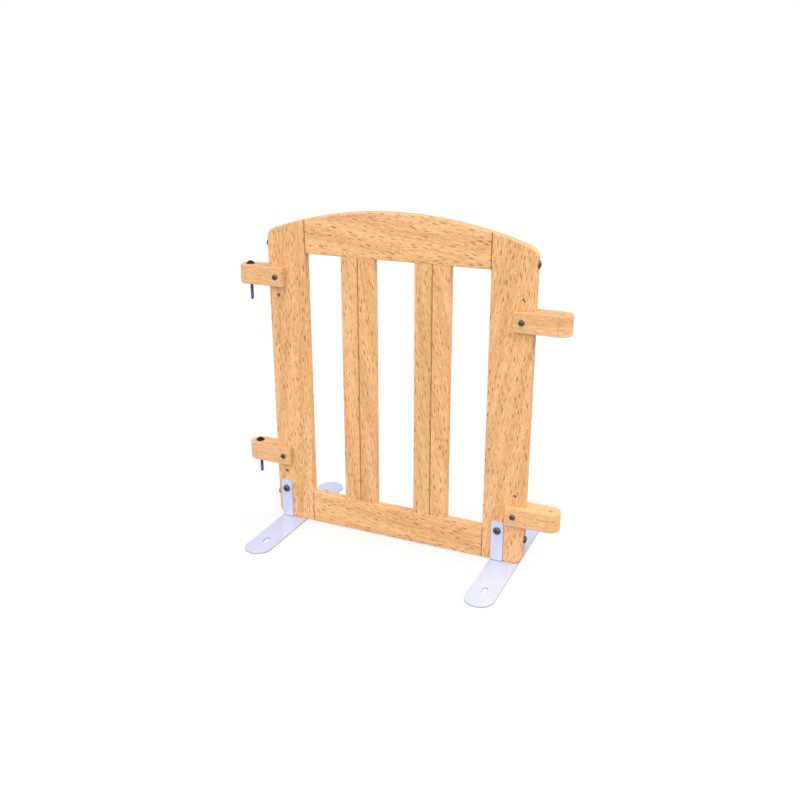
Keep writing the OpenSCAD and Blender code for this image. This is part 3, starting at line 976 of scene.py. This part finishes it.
def barrel_nut(node):
    """A cross dowel with a screwdriver slot, let into the rail from the back."""
    low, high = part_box(node)
    middle = (low + high) / 2
    radius = (high.x - low.x) / 2
    ease = 0.5 * MM
    stations = [
        (0, low.y), (radius - ease, low.y), (radius, low.y + ease, 0.6), (radius, high.y - ease),
        (radius - ease, high.y, 1), (0, high.y),
    ]
    body = stood(turned(stations), (middle.x, 0, middle.z), (0, 1, 0))
    slot = box_between(
        (middle.x - radius, high.y - SLOT_DEPTH, middle.z - SLOT_W / 2),
        (middle.x + radius, high.y + PAST, middle.z + SLOT_W / 2),
    )
    cross = turned([(0, -2 * radius), (BOLT_R, -2 * radius), (BOLT_R, 2 * radius), (0, 2 * radius)], 32)
    obj = worked("finished_" + node, body, [slot, stood(cross, middle, (1, 0, 0))])
    return shown(obj, node, bright_zinc)


def threaded_insert(node):
    """A flanged brass bush with a cut thread in its bore."""
    low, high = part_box(node)
    middle = (low + high) / 2
    flange_r = (high.x - low.x) / 2
    ease = 0.25 * MM
    stations = [
        (flange_r - ease, low.z), (flange_r, low.z + ease, 1), (flange_r, low.z + INSERT_FLANGE),
        (INSERT_R, low.z + INSERT_FLANGE), (INSERT_R, high.z - ease), (INSERT_R - ease, high.z, 0.7),
    ]
    rows = round((high.z - low.z) / PITCH * ROWS_PER_PITCH)
    for row in range(rows + 1):
        z = high.z + (low.z - high.z) * row / rows
        fade = min(row / ROWS_PER_PITCH, (rows - row) / ROWS_PER_PITCH, 1)
        stations.append((thread_radius(z, 0.5 * MM * fade, BOLT_R + 0.05 * MM), z))
    obj = linked("finished_" + node, stood(turned(stations, 36, closed=True), (middle.x, 0, 0), (0, 0, 1)))
    return shown(obj, node, turned_brass, crease=32)


for level in LEVELS:
    for name, side in SIDES.items():
        block = f"{level}_{name}_block"
        low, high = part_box(block)
        hole_x = side * (edge_x - HOLE_INSET)
        z = block_heights[level, name]
        bolt_end_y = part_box(block + "_bolt")[1].y
        bolt(block + "_bolt", (hole_x, low.y, z), (0, -1, 0), SMALL_HEAD, BOLT_R, bolt_end_y - low.y)
        domed_nut(block + "_nut", (hole_x, high.y, z), (0, 1, 0), SMALL_NUT, BOLT_R + 0.05 * MM)
    pivot_bolt(f"{level}_pivot_bolt", f"{level}_pivot_washer", f"{level}_left_block", f"{level}_thread_patch")
    washer(f"{level}_pivot_washer", (0, 0, 1), BOLT_HOLE_R)
    threaded_insert(f"{level}_threaded_insert")

for end in ("top", "bottom"):
    for name, side in SIDES.items():
        node = f"{end}_{name}_rail_bolt"
        low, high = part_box(node)
        length = edge_x - min(abs(low.x), abs(high.x))
        seat = (side * edge_x, 0, (low.z + high.z) / 2)
        bolt(node, seat, (side, 0, 0), RAIL_HEAD, BOLT_R, length)
        barrel_nut(f"{end}_{name}_barrel_nut")
        node = f"{end}_{name}_dowels"
        frame["nodes"][node].data.materials.clear()
        frame["nodes"][node].data.materials.append(block_beech)


# ---- Feet ----

def foot(node):
    """A plate with round ends and floor slots, and a tab bent upright in front of the stile.

    The tab is flush with the plate's left edge. It was cut from the plate's back half, which leaves a
    notch behind it.
    """
    low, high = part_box(node)
    middle_x = (low.x + high.x) / 2
    half_w = (high.x - low.x) / 2
    end_y = high.y - half_w
    tab_right = low.x + TAB_W
    tab_front = -face_y - PLATE_T
    bend_y = tab_front - BEND_R
    notch_back = -face_y + high.z
    outline = arc((middle_x, -end_y), half_w, 180, 360, 36)
    outline += arc((middle_x, end_y), half_w, 0, 180, 36)
    outline += [(low.x, notch_back), (tab_right, notch_back), (tab_right, bend_y), (low.x, bend_y)]
    plate = slab(outline, 0, PLATE_T, upright=False)

    # The tab grows from the plate's cut edge: round the bend, straight up, then in at its round corners
    def on_bend(vert):
        return abs(vert.co.y - bend_y) < 1e-6 and vert.co.x < tab_right + 1e-6

    edge_face = next(f for f in plate.faces if len(f.verts) == 4 and all(on_bend(v) for v in f.verts))
    ring = list(edge_face.verts)
    plate.faces.remove(edge_face)
    centre_z = PLATE_T + BEND_R
    sections = []
    bend_steps = 8
    for step in range(1, bend_steps + 1):
        turn = math.pi / 2 * step / bend_steps
        sections.append((turn, 0, 0))
    top_rise = high.z - centre_z
    corner_steps = 6
    for step in range(corner_steps + 1):
        turn = math.pi / 2 * step / corner_steps
        rise = top_rise - TAB_CORNER_R * (1 - math.sin(turn))
        sections.append((math.pi / 2, rise, TAB_CORNER_R * (1 - math.cos(turn))))
    start = [vert.co.copy() for vert in ring]
    for turn, rise, inset in sections:
        lifted = []
        for place in start:
            reach = BEND_R + (PLATE_T - place.z)
            x = place.x + inset if place.x < low.x + TAB_W / 2 else place.x - inset
            y = bend_y + reach * math.sin(turn)
            z = centre_z - reach * math.cos(turn) + rise
            lifted.append(plate.verts.new((x, y, z)))
        for i in range(4):
            j = (i + 1) % 4
            plate.faces.new((ring[i], ring[j], lifted[j], lifted[i]))
        ring = lifted
    plate.faces.new(ring)
    bmesh.ops.recalc_face_normals(plate, faces=plate.faces)

    slots = []
    for y in (-SLOT_Y, SLOT_Y):
        run = (FLOOR_SLOT_L - FLOOR_SLOT_W) / 2
        shape = arc((middle_x, y - run), FLOOR_SLOT_W / 2, 180, 360, 12)
        shape += arc((middle_x, y + run), FLOOR_SLOT_W / 2, 0, 180, 12)
        slots.append(slab(shape, -PAST, PLATE_T + PAST, upright=False))

    obj = worked("finished_" + node, plate, slots)
    rounding = obj.modifiers.new("rolled_edges", "BEVEL")
    rounding.width = STEEL_EASE
    rounding.segments = 3
    rounding.angle_limit = math.radians(50)
    obj = applied(obj)
    # The rolled edges get the powder coat's painted shade line
    mark_rolled_edges(obj)

    def shaded_bend_and_edges(face):
        """Painted shade inside the bend, and fainter on the sheared edge."""
        x, y, z = face.center
        if PLATE_T < z < centre_z and x < tab_right and face.normal.z > 0.05 and face.normal.y < -0.05:
            return 1
        return 0.4 if z < PLATE_T and abs(face.normal.z) < 0.3 else 0

    paint_shade_and_stain(obj, shaded_bend_and_edges)
    return shown(obj, node, white_powder)


def mark_rolled_edges(obj):
    """Marks the points that lie only on the small faces of a rolled edge."""
    mesh = obj.data
    small = [True] * len(mesh.vertices)
    for face in mesh.polygons:
        sides = [(mesh.vertices[a].co - mesh.vertices[b].co).length for a, b in face.edge_keys]
        if face.area / max(sides) > STEEL_EASE:
            for index in face.vertices:
                small[index] = False
    edge_wear_and_shading = mesh.attributes.new("edge_wear_and_shading", "FLOAT", "POINT")
    for flag, value in zip(small, edge_wear_and_shading.data):
        value.value = 1.0 if flag else 0.0


for name in SIDES:
    foot(name + "_foot")
    low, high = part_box(name + "_foot_bolt")
    middle = (low + high) / 2
    tab_front = -face_y - PLATE_T
    seat = (middle.x, tab_front, middle.z)
    bolt(name + "_foot_bolt", seat, (0, -1, 0), FOOT_HEAD, FOOT_BOLT_R, high.y - tab_front)
    washer(name + "_foot_washer", (0, 1, 0), FOOT_BOLT_R + 0.25 * MM)
    nut_seat = (middle.x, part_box(name + "_foot_washer")[1].y, middle.z)
    domed_nut(name + "_foot_nut", nut_seat, (0, 1, 0), FOOT_NUT, FOOT_BOLT_R + 0.05 * MM)


# ---- Studio ----

# Half the floor's width, in metres
FLOOR_HALF = 40


def studio_floor(glow, seen_glow):
    """A white floor lit through like a light table, faintly uneven, on which shadows stay pale.

    It glows as glow for what it lights, and as seen_glow to the eye.
    """
    finish, tree = blank("white_studio_floor")
    place = add(tree, "TexCoord").outputs["Object"]
    clouds = add(tree, "TexNoise", {"Vector": place, "Scale": 1 / (400 * MM), "Detail": 3})
    paint = add(
        tree, "Mix",
        {FACTOR: clouds.outputs[0], FIRST: colour("#7F7F7F"), SECOND: colour("#838383")},
        data_type="RGBA",
    ).outputs[MIXED]
    direct = add(tree, "LightPath").outputs["Is Camera Ray"]
    strength = add(tree, "MapRange", {"Value": direct, "To Min": glow, "To Max": seen_glow}).outputs[0]
    surface = add(
        tree, "BsdfPrincipled",
        {
            "Base Color": paint, "Roughness": 0.9, "Specular IOR Level": 0.1,
            "Emission Color": (1, 1, 1, 1), "Emission Strength": strength,
        },
    )
    add(tree, "OutputMaterial", {"Surface": surface.outputs[0]})
    bm = bmesh.new()
    corners = ((-1, -1), (1, -1), (1, 1), (-1, 1))
    bm.faces.new([bm.verts.new((x * FLOOR_HALF, y * FLOOR_HALF, 0)) for x, y in corners])
    floor = linked("studio_floor", bm)
    floor.data.materials.append(finish)


def broad_sun(name, azimuth, elevation, spread, strength):
    """Even light from a large part of the sky. A strength of 1 lights a white surface that faces it fully."""
    data = bpy.data.lights.new(name, "SUN")
    data.angle = math.radians(spread)
    data.energy = strength * math.pi
    light = bpy.data.objects.new(name, data)
    az, el = math.radians(azimuth), math.radians(elevation)
    towards = Vector((math.sin(az) * math.cos(el), -math.cos(az) * math.cos(el), math.sin(el)))
    light.rotation_euler = towards.to_track_quat("Z", "Y").to_euler()
    bpy.context.scene.collection.objects.link(light)


def white_room(lighting, seen, dim_towards, dimming):
    """A white surround: as bright as lighting for what it lights, and as bright as seen to the eye.

    What it lights also meets a greyer part of the wall, which lies in the direction dim_towards.
    """
    world = bpy.data.worlds.new("white_room")
    world.use_nodes = True
    tree = world.node_tree
    tree.nodes.clear()
    white = (1, 1, 1, 1)
    facing = add(tree, "TexCoord").outputs["Generated"]
    towards = tuple(Vector(dim_towards).normalized())
    nearness = add(tree, "VectorMath", {0: facing, 1: towards}, operation="DOT_PRODUCT").outputs["Value"]
    wall = {
        "Value": nearness, "From Min": math.cos(math.radians(55)), "From Max": math.cos(math.radians(15)),
        "To Min": lighting, "To Max": lighting * (1 - dimming),
    }
    strength = add(tree, "MapRange", wall, interpolation_type="SMOOTHSTEP").outputs[0]
    glow = add(tree, "Background", {"Color": white, "Strength": strength}).outputs[0]
    backdrop = add(tree, "Background", {"Color": white, "Strength": seen}).outputs[0]
    direct = add(tree, "LightPath").outputs["Is Camera Ray"]
    room = add(tree, "MixShader", {0: direct, 1: glow, 2: backdrop}).outputs[0]
    add(tree, "OutputWorld", {"Surface": room})
    bpy.context.scene.world = world


def camera(aim, azimuth, elevation, distance, lens):
    data = bpy.data.cameras.new("camera")
    data.lens = lens
    data.sensor_width = 36
    data.clip_end = 200
    obj = bpy.data.objects.new("camera", data)
    az, el = math.radians(azimuth), math.radians(elevation)
    back = Vector((math.sin(az) * math.cos(el), -math.cos(az) * math.cos(el), math.sin(el)))
    obj.location = Vector(aim) + back * distance
    obj.rotation_euler = (-back).to_track_quat("-Z", "Y").to_euler()
    bpy.context.scene.collection.objects.link(obj)
    bpy.context.scene.camera = obj


studio_floor(glow=0.15, seen_glow=0.7)
broad_sun("front", azimuth=10, elevation=30, spread=80, strength=0.24)
broad_sun("front_left", azimuth=-20, elevation=42, spread=50, strength=0.14)
broad_sun("back_right", azimuth=112, elevation=45, spread=40, strength=0.42)
broad_sun("glint", azimuth=40, elevation=50, spread=14, strength=0.1)
white_room(lighting=1.19, seen=1.05, dim_towards=(-0.54, 0.8, 0.28), dimming=0.75)
bpy.context.scene.view_settings.view_transform = "Standard"

camera((8.0 * MM, 0, 278.3 * MM), azimuth=24.14, elevation=19.77, distance=1.6018, lens=40.19)
